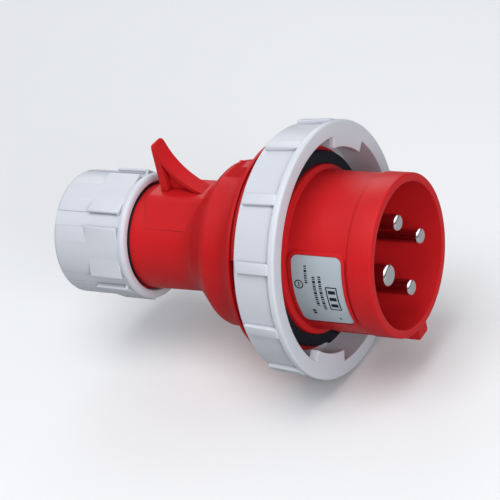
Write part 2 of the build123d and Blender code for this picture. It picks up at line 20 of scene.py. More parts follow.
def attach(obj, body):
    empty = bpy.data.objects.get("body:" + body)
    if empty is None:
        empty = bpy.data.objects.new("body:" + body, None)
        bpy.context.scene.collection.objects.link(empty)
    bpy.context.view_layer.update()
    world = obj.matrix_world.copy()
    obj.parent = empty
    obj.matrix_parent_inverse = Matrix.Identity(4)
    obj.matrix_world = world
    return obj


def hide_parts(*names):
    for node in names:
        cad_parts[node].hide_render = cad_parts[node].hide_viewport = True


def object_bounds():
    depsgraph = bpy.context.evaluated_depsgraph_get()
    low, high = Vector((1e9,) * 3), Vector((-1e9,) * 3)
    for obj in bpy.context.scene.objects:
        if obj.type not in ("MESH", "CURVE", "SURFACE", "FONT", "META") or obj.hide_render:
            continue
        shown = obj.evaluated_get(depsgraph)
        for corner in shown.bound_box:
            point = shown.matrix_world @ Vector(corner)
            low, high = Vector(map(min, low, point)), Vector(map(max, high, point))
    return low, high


LOG = logging.getLogger("plug")
MM = 0.001
PAST = 1.0
NEAR = 0.01
RING_SLACK = 0.003
MERGE_DISTANCE = 0.001

Colour = Tuple[float, float, float]
Point = Tuple[float, float, float]
Outline = Sequence[Tuple[float, ...]]
Node = bpy.types.Node
Socket = bpy.types.NodeSocket

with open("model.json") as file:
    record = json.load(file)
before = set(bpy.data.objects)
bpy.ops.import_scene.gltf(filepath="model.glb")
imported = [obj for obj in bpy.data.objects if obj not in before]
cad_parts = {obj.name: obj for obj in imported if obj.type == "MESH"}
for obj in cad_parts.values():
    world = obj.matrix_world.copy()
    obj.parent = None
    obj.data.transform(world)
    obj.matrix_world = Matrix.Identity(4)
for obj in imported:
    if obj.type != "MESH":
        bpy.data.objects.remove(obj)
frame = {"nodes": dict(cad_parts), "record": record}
CAD_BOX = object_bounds()


def placed(name: str, data: bpy.types.ID) -> bpy.types.Object:
    """Put a new object into the scene.

    Args:
        name: the object's name.
        data: its mesh, camera or light.

    Returns:
        The object.
    """
    made = bpy.data.objects.new(name, data)
    bpy.context.scene.collection.objects.link(made)
    return made


class Slot(Enum):
    """Material slots of the record that the finishes stand for."""

    RED = "red_plastic"
    GREY = "grey_plastic"
    RUBBER = "black_rubber"
    INSULATOR = "insulator"
    CONTACT = "contact_metal"
    SCREW = "screw_steel"
    FOIL = "label_foil"
    NYLON = "white_nylon"


class Join(Enum):
    """What becomes of a second solid, in the Boolean modifier's words."""

    ADD = "UNION"
    CUT = "DIFFERENCE"
    COMMON = "INTERSECT"


@dataclass(frozen=True)
class Noise:
    """Numbers of a noise pattern, with its scale per metre."""

    scale: float
    detail: float
    rough: float = 0.5


class Graph:
    """Adds and joins the nodes of one node tree."""

    def __init__(self, tree: bpy.types.NodeTree) -> None:
        """Keep the tree that the nodes go into."""
        self.tree = tree

    def join(self, source: object, target: Socket) -> None:
        """Link an output to an input, or write a plain value into the input.

        Args:
            source: socket, number or colour.
            target: the input.
        """
        if isinstance(source, Socket):
            self.tree.links.new(source, target)
        else:
            target.default_value = (*source, 1.0) if isinstance(source, tuple) else source

    def add(self, kind: str, fed: Optional[Dict] = None, **settings: object) -> Node:
        """Add one node.

        Args:
            kind: Blender's type name of the node.
            fed: what goes into its inputs, by their names or numbers.
            settings: attributes to set on it.

        Returns:
            The new node.
        """
        node = self.tree.nodes.new(kind)
        for name, value in settings.items():
            setattr(node, name, value)
        for key, source in (fed or {}).items():
            self.join(source, node.inputs[key])
        return node

    def math(self, operation: str, first: object, second: object) -> Socket:
        """Work out one sum of two values, each a number or a socket."""
        return self.add("ShaderNodeMath", {0: first, 1: second}, operation=operation).outputs[0]

    def ramp(self, source: Socket, low: float, high: float) -> Socket:
        """Stretch the part of a value between two limits to 0 to 1, clamped."""
        fed = {"Value": source, "From Min": low, "From Max": high}
        return self.add("ShaderNodeMapRange", fed, interpolation_type="SMOOTHSTEP").outputs["Result"]

    def mixed(self, share: Socket, first: object, second: object) -> Socket:
        """Mix two colours.

        Args:
            share: share of the second one.
            first: colour or socket.
            second: colour or socket.

        Returns:
            The mixed colour's socket.
        """
        node = self.add("ShaderNodeMix", {"Factor": share}, data_type="RGBA")
        for colour, target in zip((first, second), [s for s in node.inputs if s.type == "RGBA"]):
            self.join(colour, target)
        return next(s for s in node.outputs if s.type == "RGBA")

    def where(self) -> Socket:
        """Object coordinates of the surface."""
        return self.add("ShaderNodeTexCoord").outputs["Object"]

    def noise(self, where: Socket, pattern: Noise) -> Socket:
        """Noise value from 0 to 1 at a place."""
        fed = {"Vector": where, "Scale": pattern.scale, "Detail": pattern.detail, "Roughness": pattern.rough}
        return self.add("ShaderNodeTexNoise", fed).outputs[0]


def new_group(name: str, inputs: Dict[str, float], outputs: Sequence[str]) -> Tuple[Graph, Dict, Dict]:
    """Start a shader node group.

    Args:
        name: name of the group.
        inputs: input names and their defaults.
        outputs: names of the value outputs.

    Returns:
        The group's graph, its input sockets and its output sockets by name.
    """
    tree = bpy.data.node_groups.new(name, "ShaderNodeTree")
    for label, value in inputs.items():
        socket = tree.interface.new_socket(label, in_out="INPUT", socket_type="NodeSocketFloat")
        socket.default_value = value
    for label in outputs:
        tree.interface.new_socket(label, in_out="OUTPUT", socket_type="NodeSocketFloat")
    graph = Graph(tree)
    entry, leave = graph.add("NodeGroupInput"), graph.add("NodeGroupOutput")
    return graph, {s.name: s for s in entry.outputs}, {s.name: s for s in leave.inputs}


class Effects:
    """Node groups that several finishes share, each built once."""

    fine_grain = Noise(3800.0, 3.0, 0.6)
    shrinkage = Noise(90.0, 1.0)
    cloud = Noise(45.0, 4.0, 0.55)
    scratches = Noise(420.0, 5.0, 0.7)
    scratch_limits = (0.60, 0.74)
    edge_limits = (0.02, 0.25)
    open_limits = (0.75, 0.98)
    corner_shade_limits = (0.12, 0.62)
    bevel_samples = 6
    shade_samples = 8

    def __init__(self) -> None:
        """Build the groups."""
        self.grain = self._grain()
        self.tone = self._tone()
        self.edges = self._edges()

    def _grain(self) -> bpy.types.NodeTree:
        """Fine eroded grain of a moulded surface, with a slow wave of shrinkage under it.

        Returns:
            The group.
        """
        graph, given, result = new_group("moulded_grain", {"Wave": 0.3}, ("Height",))
        where = graph.where()
        slow = graph.math("MULTIPLY", graph.noise(where, self.shrinkage), given["Wave"])
        graph.join(graph.math("ADD", graph.noise(where, self.fine_grain), slow), result["Height"])
        return graph.tree

    def _tone(self) -> bpy.types.NodeTree:
        """Cloudy mask, and sparse specks of handling marks.

        Returns:
            The group.
        """
        graph, _, result = new_group("moulding_tone", {}, ("Cloud", "Scuff"))
        where = graph.where()
        graph.join(graph.noise(where, self.cloud), result["Cloud"])
        scuff = graph.ramp(graph.noise(where, self.scratches), *self.scratch_limits)
        graph.join(scuff, result["Scuff"])
        return graph.tree

    def _edges(self) -> bpy.types.NodeTree:
        """Masks of the outer edges, where wear shows, and of the corners, for painted shade taken from
        ambient occlusion.

        Returns:
            The group.
        """
        graph, given, result = new_group("edge_wear_and_corner_shade", {"Radius": 0.0003, "Reach": 0.0015},
                                         ("Edge", "Corner"))
        bevel = graph.add("ShaderNodeBevel", {"Radius": given["Radius"]}, samples=self.bevel_samples)
        geometry = graph.add("ShaderNodeNewGeometry")
        normals = {0: bevel.outputs["Normal"], 1: geometry.outputs["Normal"]}
        dot = graph.add("ShaderNodeVectorMath", normals, operation="DOT_PRODUCT")
        shade = graph.add("ShaderNodeAmbientOcclusion", {"Distance": given["Reach"]},
                          samples=self.shade_samples, only_local=True)
        edge = graph.ramp(graph.math("SUBTRACT", 1.0, dot.outputs["Value"]), *self.edge_limits)
        in_open = graph.ramp(shade.outputs["AO"], *self.open_limits)
        graph.join(graph.math("MULTIPLY", edge, in_open), result["Edge"])
        # Painted shade: the corner mask is one minus ambient occlusion, which darkens corners and creases.
        corner = graph.math("SUBTRACT", 1.0, shade.outputs["AO"])
        graph.join(graph.ramp(corner, *self.corner_shade_limits), result["Corner"])
        return graph.tree


@dataclass(frozen=True)
class Finish:
    """One surface finish, with the numbers of its Principled shader and its patterns, in metres."""

    slot: Slot
    colour: Colour
    edge_colour: Colour
    roughness: float
    roughness_spread: float
    metallic: float = 0.0
    specular: float = 0.5
    grain_wave: float = 0.3
    grain_depth: float = 0.00002
    grain_strength: float = 0.25
    edge_radius: float = 0.0003
    edge_share: float = 0.5
    corner_reach: float = 0.0015
    # Painted shade: the share by which the colour darkens in corners and creases.
    corner_shade_share: float = 0.5
    cloud_share: float = 0.12
    ground_front: Optional[float] = None
    ground_fade: float = 0.00003
    ground_roughness: float = 0.3

    def material(self, effects: Effects) -> bpy.types.Material:
        """Build the material.

        Args:
            effects: shared node groups.

        Returns:
            The new material, named after its slot.
        """
        made = bpy.data.materials.new(self.slot.value)
        made.use_nodes = True
        made.node_tree.nodes.clear()
        graph = Graph(made.node_tree)
        tone = graph.add("ShaderNodeGroup", node_tree=effects.tone)
        grain = graph.add("ShaderNodeGroup", {"Wave": self.grain_wave}, node_tree=effects.grain)
        edges = graph.add("ShaderNodeGroup", {"Radius": self.edge_radius, "Reach": self.corner_reach},
                          node_tree=effects.edges)
        bump = graph.add("ShaderNodeBump", {"Strength": self.grain_strength, "Distance": self.grain_depth,
                                            "Height": grain.outputs["Height"]})
        shader = graph.add("ShaderNodeBsdfPrincipled", {
            "Base Color": self._colour(graph, tone, edges), "Roughness": self._rough(graph, tone),
            "Metallic": self.metallic, "Specular IOR Level": self.specular, "Normal": bump.outputs["Normal"]})
        graph.add("ShaderNodeOutputMaterial", {"Surface": shader.outputs["BSDF"]})
        return made

    def _rough(self, graph: Graph, tone: Node) -> Socket:
        """Roughness, with its clouds and scuffs; more on end faces further along X than ground_front.

        Args:
            graph: the material's graph.
            tone: node of the tone group.

        Returns:
            The roughness.
        """
        spread = graph.math("MULTIPLY", tone.outputs["Cloud"], self.roughness_spread)
        scuff = graph.math("MULTIPLY", tone.outputs["Scuff"], self.roughness_spread)
        lowest = self.roughness - self.roughness_spread / 2
        rough = graph.math("ADD", graph.math("ADD", spread, scuff), lowest)
        if self.ground_front is None:
            return rough
        axes = graph.add("ShaderNodeSeparateXYZ", {0: graph.where()})
        mask = graph.ramp(axes.outputs["X"], self.ground_front - self.ground_fade, self.ground_front)
        return graph.math("ADD", rough, graph.math("MULTIPLY", mask, self.ground_roughness))

    def _colour(self, graph: Graph, tone: Node, edges: Node) -> Socket:
        """Mix the base colour, its cloudy shade, the corners darkened as painted shade and the paler worn
        edges.

        Args:
            graph: the material's graph.
            tone: node of the tone group.
            edges: node of the edges group.

        Returns:
            The colour.
        """
        shade = tuple(c * (1.0 - self.cloud_share) for c in self.colour)
        # Painted shade: the colour darkened by the corner mask.
        corner_shaded = tuple(c * (1.0 - self.corner_shade_share) for c in self.colour)
        cloud = graph.mixed(tone.outputs["Cloud"], shade, self.colour)
        with_corner_shade = graph.mixed(edges.outputs["Corner"], cloud, corner_shaded)
        worn = graph.math("MULTIPLY", edges.outputs["Edge"], self.edge_share)
        return graph.mixed(worn, with_corner_shade, self.edge_colour)


FINISHES = (
    Finish(Slot.RED, (0.57, 0.014, 0.017), (0.64, 0.035, 0.037), 0.38, 0.12, specular=0.13,
           grain_strength=0.16, corner_shade_share=0.5),
    Finish(Slot.GREY, (0.61, 0.64, 0.70), (0.74, 0.76, 0.80), 0.36, 0.10, specular=0.4,
           grain_strength=0.7, cloud_share=0.05, corner_shade_share=0.42),
    Finish(Slot.RUBBER, (0.009, 0.013, 0.019), (0.02, 0.024, 0.032), 0.6, 0.12, specular=0.2),
    Finish(Slot.INSULATOR, (0.05, 0.046, 0.048), (0.08, 0.075, 0.075), 0.5, 0.1),
    Finish(Slot.CONTACT, (0.83, 0.83, 0.85), (0.9, 0.9, 0.9), 0.10, 0.05, metallic=1.0,
           grain_strength=0.02, edge_share=0.0, corner_shade_share=0.3, ground_front=-0.00101),
    Finish(Slot.SCREW, (0.56, 0.56, 0.55), (0.7, 0.7, 0.69), 0.32, 0.12, metallic=1.0, grain_strength=0.1),
    Finish(Slot.FOIL, (0.47, 0.54, 0.59), (0.6, 0.62, 0.64), 0.36, 0.08, metallic=0.15,
           grain_strength=0.04, edge_radius=0.00008, corner_shade_share=0.1),
    Finish(Slot.NYLON, (0.68, 0.67, 0.63), (0.72, 0.71, 0.68), 0.42, 0.08, grain_strength=0.1),
)


class Wardrobe:
    """All the finishes as materials, by slot."""

    def __init__(self) -> None:
        """Build the materials."""
        effects = Effects()
        self.materials = {finish.slot: finish.material(effects) for finish in FINISHES}

    def dress(self, piece: bpy.types.Object, slot: Slot) -> None:
        """Give a piece its finish.

        Args:
            piece: mesh object, new or from the frame.
            slot: the finish's slot.
        """
        if not piece.material_slots:
            piece.data.materials.append(self.materials[slot])
        for place in piece.material_slots:
            place.material = self.materials[slot]


@dataclass(frozen=True)
class Corner:
    """One corner of a turned outline, with the radius of its rounding."""

    x: float
    radius: float
    rounding: float = 0.0


class Solid:
    """A mesh under construction, in millimetres, with its axis along X."""

    segment_bend = 15.0
    fewest_segments = 2
    most_segments = 8
    sharp_bend = 30.0

    def __init__(self) -> None:
        """Start empty."""
        self.bm = bmesh.new()

    @classmethod
    def spun(cls, outline: Outline, steps: int, closed: bool = True) -> "Solid":
        """Turn an outline about the X axis and round its corners.

        Args:
            outline: rows with the values of a Corner, in order.
            steps: segments of the full turn.
            closed: join the last corner to the first; otherwise both lie on the axis.

        Returns:
            The turned solid.
        """
        made = cls()
        corners = [Corner(*row) for row in outline]
        verts = [made.bm.verts.new((corner.x, 0.0, corner.radius)) for corner in corners]
        pairs = list(zip(verts, verts[1:]))
        if closed:
            pairs.append((verts[-1], verts[0]))
        edges = [made.bm.edges.new(pair) for pair in pairs]
        bmesh.ops.spin(made.bm, geom=verts + edges, cent=(0, 0, 0), axis=(1, 0, 0), angle=math.tau,
                       steps=steps, use_merge=True)
        made.tidy()
        for corner in corners:
            if corner.rounding > 0:
                made.round_ring(corner)
        return made

    @classmethod
    def arc_block(cls, start: float, end: float, inner: float, outer: float, angle: float,
                  phase: float = 0.0, steps: int = 12) -> "Solid":
        """Part of a tube about X.

        Args:
            start: place of one end along X.
            end: place of the other end.
            inner: inner radius.
            outer: outer radius.
            angle: angle that the part spans, in degrees.
            phase: turn of its middle from +Z towards -Y, in degrees.
            steps: segments along the angle.

        Returns:
            The solid.
        """
        made = cls()
        corners = [made.bm.verts.new((x, 0.0, radius)) for x, radius in
                   ((start, inner), (start, outer), (end, outer), (end, inner))]
        face = made.bm.faces.new(corners)
        made.turn(phase - angle / 2)
        bmesh.ops.spin(made.bm, geom=[face], cent=(0, 0, 0), axis=(1, 0, 0), angle=math.radians(angle),
                       steps=steps, use_merge=False)
        made.tidy()
        return made

    @classmethod
    def bar(cls, outline: Sequence[Tuple[float, float]], width: float) -> "Solid":
        """Extrude an outline in the XZ plane to a width about Y = 0.

        Args:
            outline: (x, z) corners.
            width: full width along Y.

        Returns:
            The solid.
        """
        made = cls()
        face = made.bm.faces.new([made.bm.verts.new((x, -width / 2, z)) for x, z in outline])
        extruded = bmesh.ops.extrude_face_region(made.bm, geom=[face], use_keep_orig=True)["geom"]
        far_side = [thing for thing in extruded if isinstance(thing, bmesh.types.BMVert)]
        bmesh.ops.translate(made.bm, vec=(0, width, 0), verts=far_side)
        made.tidy()
        return made

    @classmethod
    def rod(cls, radius: float, bottom: float, top: float, x: float, steps: int = 48) -> "Solid":
        """Round rod along Z at a place on the X axis.

        Args:
            radius: its radius.
            bottom: lower end.
            top: upper end.
            x: place along X.
            steps: segments round it.

        Returns:
            The solid.
        """
        made = cls()
        bmesh.ops.create_cone(made.bm, cap_ends=True, segments=steps, radius1=radius, radius2=radius,
                              depth=top - bottom)
        return made.move((x, 0.0, (top + bottom) / 2))

    def tidy(self) -> None:
        """Merge doubled vertices and point the faces outwards."""
        bmesh.ops.remove_doubles(self.bm, verts=self.bm.verts, dist=MERGE_DISTANCE)
        bmesh.ops.recalc_face_normals(self.bm, faces=self.bm.faces)

    def turn(self, phase: float) -> "Solid":
        """Turn the solid about X.

        Args:
            phase: angle from +Z towards -Y, in degrees.

        Returns:
            This solid.
        """
        turn = Matrix.Rotation(math.radians(phase), 3, "X")
        bmesh.ops.rotate(self.bm, verts=self.bm.verts, cent=(0, 0, 0), matrix=turn)
        return self

    def move(self, step: Point) -> "Solid":
        """Move the solid."""
        bmesh.ops.translate(self.bm, vec=step, verts=self.bm.verts)
        return self

    def round_ring(self, corner: Corner) -> None:
        """Bevel the ring of edges at a corner of a turned solid to its rounding.

        Args:
            corner: the corner, with its rounding.
        """
        def on_ring(vertex: bmesh.types.BMVert) -> bool:
            """Say whether a vertex lies on the corner's ring."""
            radius = math.hypot(vertex.co.y, vertex.co.z)
            return abs(vertex.co.x - corner.x) < RING_SLACK and abs(radius - corner.radius) < RING_SLACK

        ring = [edge for edge in self.bm.edges if all(on_ring(v) for v in edge.verts)]
        bend = ring[0].calc_face_angle(math.pi / 2)
        wanted = round(math.degrees(bend) / self.segment_bend)
        segments = max(self.fewest_segments, min(self.most_segments, wanted))
        self.bevel(ring, corner.rounding * math.tan(bend / 2), segments)

    def round_edges(self, rounding: float, segments: int = 3, above: Optional[float] = None) -> "Solid":
        """Round the sharp edges.

        Args:
            rounding: bevel offset.
            segments: bevel segments.
            above: round only the edges whose ends both lie further than this from the X axis.

        Returns:
            This solid.
        """
        limit = math.radians(self.sharp_bend)
        edges = [edge for edge in self.bm.edges
                 if len(edge.link_faces) == 2 and edge.calc_face_angle(0.0) > limit]
        if above is not None:
            edges = [edge for edge in edges if all(math.hypot(v.co.y, v.co.z) > above for v in edge.verts)]
        self.bevel(edges, rounding, segments)
        return self

    def bevel(self, edges: Sequence[bmesh.types.BMEdge], offset: float, segments: int) -> None:
        """Bevel edges with a round profile."""
        bmesh.ops.bevel(self.bm, geom=list(edges), offset=offset, offset_type="OFFSET", segments=segments,
                        profile=0.5, affect="EDGES", material=-1, clamp_overlap=True)

    def cut_plane(self, point: Point, normal: Point) -> "Solid":
        """Cut off what lies beyond a plane and close the cut.

        Args:
            point: point of the plane.
            normal: direction that points away from what stays.

        Returns:
            This solid.
        """
        geometry = self.bm.verts[:] + self.bm.edges[:] + self.bm.faces[:]
        bmesh.ops.bisect_plane(self.bm, geom=geometry, plane_co=point, plane_no=normal, clear_outer=True)
        bmesh.ops.holes_fill(self.bm, edges=[edge for edge in self.bm.edges if edge.is_boundary], sides=0)
        self.tidy()
        return self

    def take(self, other: "Solid") -> "Solid":
        """Add another solid's mesh to this one, without joining them.

        Args:
            other: the other solid, which is used up.

        Returns:
            This solid.
        """
        mesh = bpy.data.meshes.new("taken")
        other.bm.to_mesh(mesh)
        other.bm.free()
        self.bm.from_mesh(mesh)
        bpy.data.meshes.remove(mesh)
        return self

    def combine(self, other: "Solid", join: Join) -> "Solid":
        """Join another solid to this one, cut it out, or keep what both share.

        Args:
            other: the other solid, which is used up.
            join: which of these.

        Returns:
            This solid.
        """
        objects = []
        for name, bm in (("kept", self.bm), ("tool", other.bm)):
            mesh = bpy.data.meshes.new(name)
            bm.to_mesh(mesh)
            objects.append(placed(name, mesh))
        kept, tool = objects
        modifier = kept.modifiers.new("combine", "BOOLEAN")
        modifier.solver = "EXACT"
        modifier.operation = join.value
        modifier.object = tool
        result = bpy.data.meshes.new_from_object(kept.evaluated_get(bpy.context.evaluated_depsgraph_get()))
        self.bm.clear()
        self.bm.from_mesh(result)
        other.bm.free()
        meshes = [kept.data, tool.data, result]
        for thing in objects:
            bpy.data.objects.remove(thing)
        for mesh in meshes:
            bpy.data.meshes.remove(mesh)
        bmesh.ops.remove_doubles(self.bm, verts=self.bm.verts, dist=MERGE_DISTANCE / 2)
        return self

    def piece(self, name: str, body: str, slot: Slot, sharp_angle: float = 32.0) -> bpy.types.Object:
        """Make the object in metres and put it on its body.

        Args:
            name: piece's name.
            body: body that it rides on.
            slot: material slot of the record; not used.
            sharp_angle: angle in degrees past which an edge shades sharp.

        Returns:
            The new object.
        """
        bmesh.ops.scale(self.bm, vec=(MM, MM, MM), verts=self.bm.verts)
        mesh = bpy.data.meshes.new(name)
        self.bm.to_mesh(mesh)
        self.bm.free()
        mesh.shade_smooth()
        mesh.set_sharp_from_angle(angle=math.radians(sharp_angle))
        piece = placed(name, mesh)
        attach(piece, body)
        LOG.info("%s: %d faces on %s", name, len(mesh.polygons), body)
        return piece


@dataclass(frozen=True)
class Collar:
    """Moulded collar round the pins: rim band, key, label pad, gasket flange, hub and spigot."""

    rim: float = 29.0
    bore: float = 26.0
    band: float = 9.0
    band_step: float = 0.4
    bore_round: float = 0.35
    rim_round: float = 0.7
    band_round: float = 0.25
    step_round: float = 0.15
    tube: float = 28.3
    root_start: float = 33.0
    root_step: float = 0.6
    root: float = 30.4
    root_round: float = 0.8
    flange: float = 36.5
    edge_round: float = 0.3
    flange_front: float = 38.0
    flange_back: float = 41.0
    hub: float = 33.0
    hub_back: float = 44.0
    spigot: float = 31.8
    spigot_end: float = 52.0
    pocket: float = 28.8
    ledge: float = 24.6
    floor: float = 40.0
    ledge_back: float = 45.0
    groove_start: float = 48.2
    groove_end: float = 49.8
    groove_radius: float = 30.5
    key_radius: float = 34.2
    key_width: float = 6.2
    key_setback: float = 0.6
    key_round: float = 2.0
    pad_start: float = 10.1
    pad_end: float = 32.4
    pad_radius: float = 28.75
    pad_angle: float = 61.7
    pad_corner: float = 3.4
    pad_edge: float = 0.34
    pad_root: float = 0.5
    window_spare: float = 12.0
    label_start: float = 11.3
    label_end: float = 31.2
    label_angle: float = 56.8
    label_corner: float = 2.6
    label_phase: float = 90.0
    stop_floor: float = 31.1
    stop_angle: float = 66.0
    stop_phase: float = 82.0
    screw_place: float = 26.4
    screw_hole: float = 1.35
    screw_depth: float = 4.4
    screw_phases: Tuple[float, ...] = (45.0, 165.0, 285.0)
    steps: int = 192
    arc_steps: int = 36
    stop_steps: int = 24
    hole_steps: int = 24
    corner_segments: int = 8
    key_segments: int = 5

    def build(self, wardrobe: "Wardrobe") -> None:
        """Make the collar and dress it in place of its node.

        Args:
            wardrobe: the materials.
        """
        collar = self._body().combine(self._key(), Join.ADD).combine(self._pad(), Join.ADD)
        cuts = Solid.arc_block(-self.flange_back, -self.hub_back, self.stop_floor, self.hub + PAST,
                               self.stop_angle, self.stop_phase, self.stop_steps)
        for phase in self.screw_phases:
            cuts.take(self._screw_hole().turn(phase))
        piece = collar.combine(cuts, Join.CUT).piece("pin_collar", "plug_body", Slot.RED)
        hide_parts("shroud")
        wardrobe.dress(piece, Slot.RED)

    def _body(self) -> Solid:
        """Turned body, from the rim's bore round the outside to the carrier's ledge.

        Returns:
            The body.
        """
        edge = self.edge_round
        return Solid.spun((
            (0.0, self.bore, self.bore_round), (0.0, self.rim, self.rim_round),
            (-self.band, self.rim, self.band_round),
            (-self.band - self.band_step, self.tube, self.step_round),
            (-self.root_start, self.tube, self.root_round),
            (-self.root_start - self.root_step, self.root, self.root_round),
            (-self.flange_front, self.root), (-self.flange_front, self.flange, edge),
            (-self.flange_back, self.flange, edge), (-self.flange_back, self.hub),
            (-self.hub_back, self.hub), (-self.hub_back, self.spigot), (-self.groove_start, self.spigot),
            (-self.groove_start, self.groove_radius), (-self.groove_end, self.groove_radius),
            (-self.groove_end, self.spigot), (-self.spigot_end, self.spigot, edge),
            (-self.spigot_end, self.pocket), (-self.ledge_back, self.pocket),
            (-self.ledge_back, self.ledge), (-self.floor, self.ledge),
            (-self.floor, self.bore)), self.steps)

    def _key(self) -> Solid:
        """Polarising key under the collar, rounded along its outer edges.

        Returns:
            The key.
        """
        root = self.tube - PAST
        key = Solid.bar(((-self.flange_front, root), (-self.flange_front, self.key_radius),
                         (-self.key_setback, self.key_radius), (-self.key_setback, root)), self.key_width)
        return key.round_edges(self.key_round, self.key_segments, self.key_radius - NEAR).turn(180.0)

    def _pad(self) -> Solid:
        """Low border round the label's place, with round corners and soft edges.

        Returns:
            The border.
        """
        pad = self._window(self.pad_start, self.pad_end, self.tube - self.pad_root, self.pad_radius,
                           self.pad_angle, self.pad_corner)
        pad.round_edges(self.pad_edge, above=self.pad_radius - NEAR)
        pocket = self._window(self.label_start, self.label_end, self.tube, self.pad_radius + PAST,
                              self.label_angle, self.label_corner)
        return pad.combine(pocket, Join.CUT)

    def _window(self, start: float, end: float, inner: float, outer: float, angle: float,
                corner: float) -> Solid:
        """Curved plate on the label's side, cut to a rectangle with round corners.

        Args:
            start: distance of its front from the rim.
            end: distance of its back from the rim.
            inner: inner radius.
            outer: outer radius.
            angle: angle that it spans, in degrees.
            corner: radius of its corners.

        Returns:
            The plate.
        """
        half = self.pad_radius * math.sin(math.radians(angle / 2))
        prism = Solid.bar(((-end, -half), (-end, half), (-start, half), (-start, -half)), 3 * self.rim)
        across = [edge for edge in prism.bm.edges
                  if abs(edge.verts[0].co.y - edge.verts[1].co.y) > self.rim]
        prism.bevel(across, corner, self.corner_segments)
        plate = Solid.arc_block(-start + PAST, -end - PAST, inner, outer, angle + self.window_spare,
                                self.label_phase, self.arc_steps)
        return plate.combine(prism, Join.COMMON)

    def _screw_hole(self) -> Solid:
        """Cutter of a blind hole in the ledge, at the top.

        Returns:
            The cutter.
        """
        back = -self.ledge_back - PAST
        front = -self.ledge_back + self.screw_depth
        outline = ((back, 0.0), (back, self.screw_hole), (front, self.screw_hole), (front, 0.0))
        hole = Solid.spun(outline, self.hole_steps, closed=False)
        return hole.move((0.0, 0.0, self.screw_place))


@dataclass(frozen=True)
class LockRing:
    """Bayonet ring with grip ribs outside, two ramped lugs in its mouth and a bearing lip at its back."""

    front: float = -27.6
    back: float = -43.7
    radius: float = 46.3
    bore: float = 40.8
    rim_width: float = 2.5
    panel_depth: float = 1.3
    panel_slope: float = 0.3
    taper: float = 0.8
    skirt: float = 0.9
    lip_bore: float = 33.3
    lip_thickness: float = 2.4
    rib_count: int = 12
    rib_phase: float = 7.5
    rib_width: float = 4.0
    rib_rise: float = 0.25
    rib_setback: float = 1.5
    rib_round: float = 0.32
    rib_root: float = 1.2
    rib_overlap: float = 0.8
    rib_drop: float = 0.6
    rib_front_setback: float = 0.1
    lug_height: float = 4.1
    lug_thickness: float = 3.2
    lug_ramp: float = 1.0
    lug_angle: float = 30.0
    lug_phase: float = -33.0
    lug_round: float = 0.3
    stop_inner: float = 31.4
    stop_angle: float = 12.0
    stop_round: float = 0.2
    mouth_round: float = 0.35
    rim_round: float = 0.9
    groove_round: float = 0.5
    edge_round: float = 0.3
    skirt_round: float = 0.6
    lip_round: float = 0.2
    steps: int = 180

    def build(self, wardrobe: "Wardrobe") -> None:
        """Make the ring and dress it in place of its node.

        Args:
            wardrobe: the materials.
        """
        ring = self._body()
        extras = Solid()
        for k in range(self.rib_count):
            extras.take(self._rib().turn(self.rib_phase + k * 360 / self.rib_count))
        for phase in (self.lug_phase, self.lug_phase + 180):
            extras.take(self._lug().turn(phase))
        stop = Solid.arc_block(self.back + self.lip_thickness, self.back, self.stop_inner,
                               self.lip_bore + PAST, self.stop_angle, self.lug_phase + 90)
        extras.take(stop.round_edges(self.stop_round))
        piece = ring.combine(extras, Join.ADD).piece("grip_ring", "lock_ring", Slot.GREY)
        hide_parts("lock_ring")
        wardrobe.dress(piece, Slot.GREY)

    def _body(self) -> Solid:
        """Turned body of the ring.

        Returns:
            The body.
        """
        panel = self.radius - self.panel_depth
        groove = self.front - self.rim_width
        lip = self.back + self.lip_thickness
        end = self.back - self.skirt
        return Solid.spun((
            (self.front, self.bore, self.mouth_round), (self.front, self.radius, self.rim_round),
            (groove, self.radius, self.groove_round), (groove - self.panel_slope, panel, self.edge_round),
            (end, panel - self.taper, self.skirt_round), (end, self.bore, self.edge_round),
            (self.back, self.bore), (self.back, self.lip_bore, self.lip_round),
            (lip, self.lip_bore, self.lip_round),
            (lip, self.bore, self.skirt_round)), self.steps)

    def _rib(self) -> Solid:
        """One grip rib at the top of the ring, rounded, before it is turned to its place.

        Returns:
            The rib.
        """
        groove = self.front - self.rim_width
        front_panel = self.radius - self.panel_depth
        rise = self.panel_depth + self.rib_rise
        end = self.back - self.skirt + self.rib_setback
        slope = self.taper / (groove - self.panel_slope - self.back + self.skirt)
        end_panel = front_panel - self.taper + slope * self.rib_setback
        front = groove + self.rib_overlap
        rib = Solid.bar(((front, front_panel - self.rib_root), (front, self.radius - self.rib_drop),
                         (groove - self.rib_front_setback, front_panel + rise), (end, end_panel + rise),
                         (end, end_panel - self.rib_root)), self.rib_width)
        return rib.round_edges(self.rib_round, above=front_panel - self.rib_root / 2)

    def _lug(self) -> Solid:
        """Lug at the top of the ring's mouth, with a ramp on its back.

        Returns:
            The lug.
        """
        inner = self.bore - self.lug_height
        back = self.front - self.lug_thickness
        lug = Solid.arc_block(self.front, back, inner, self.bore + PAST, self.lug_angle)
        half = self.bore * math.sin(math.radians(self.lug_angle / 2))
        lug.cut_plane((back + self.lug_ramp, -half, 0.0), (-2 * half, -self.lug_ramp, 0.0))
        return lug.round_edges(self.lug_round)


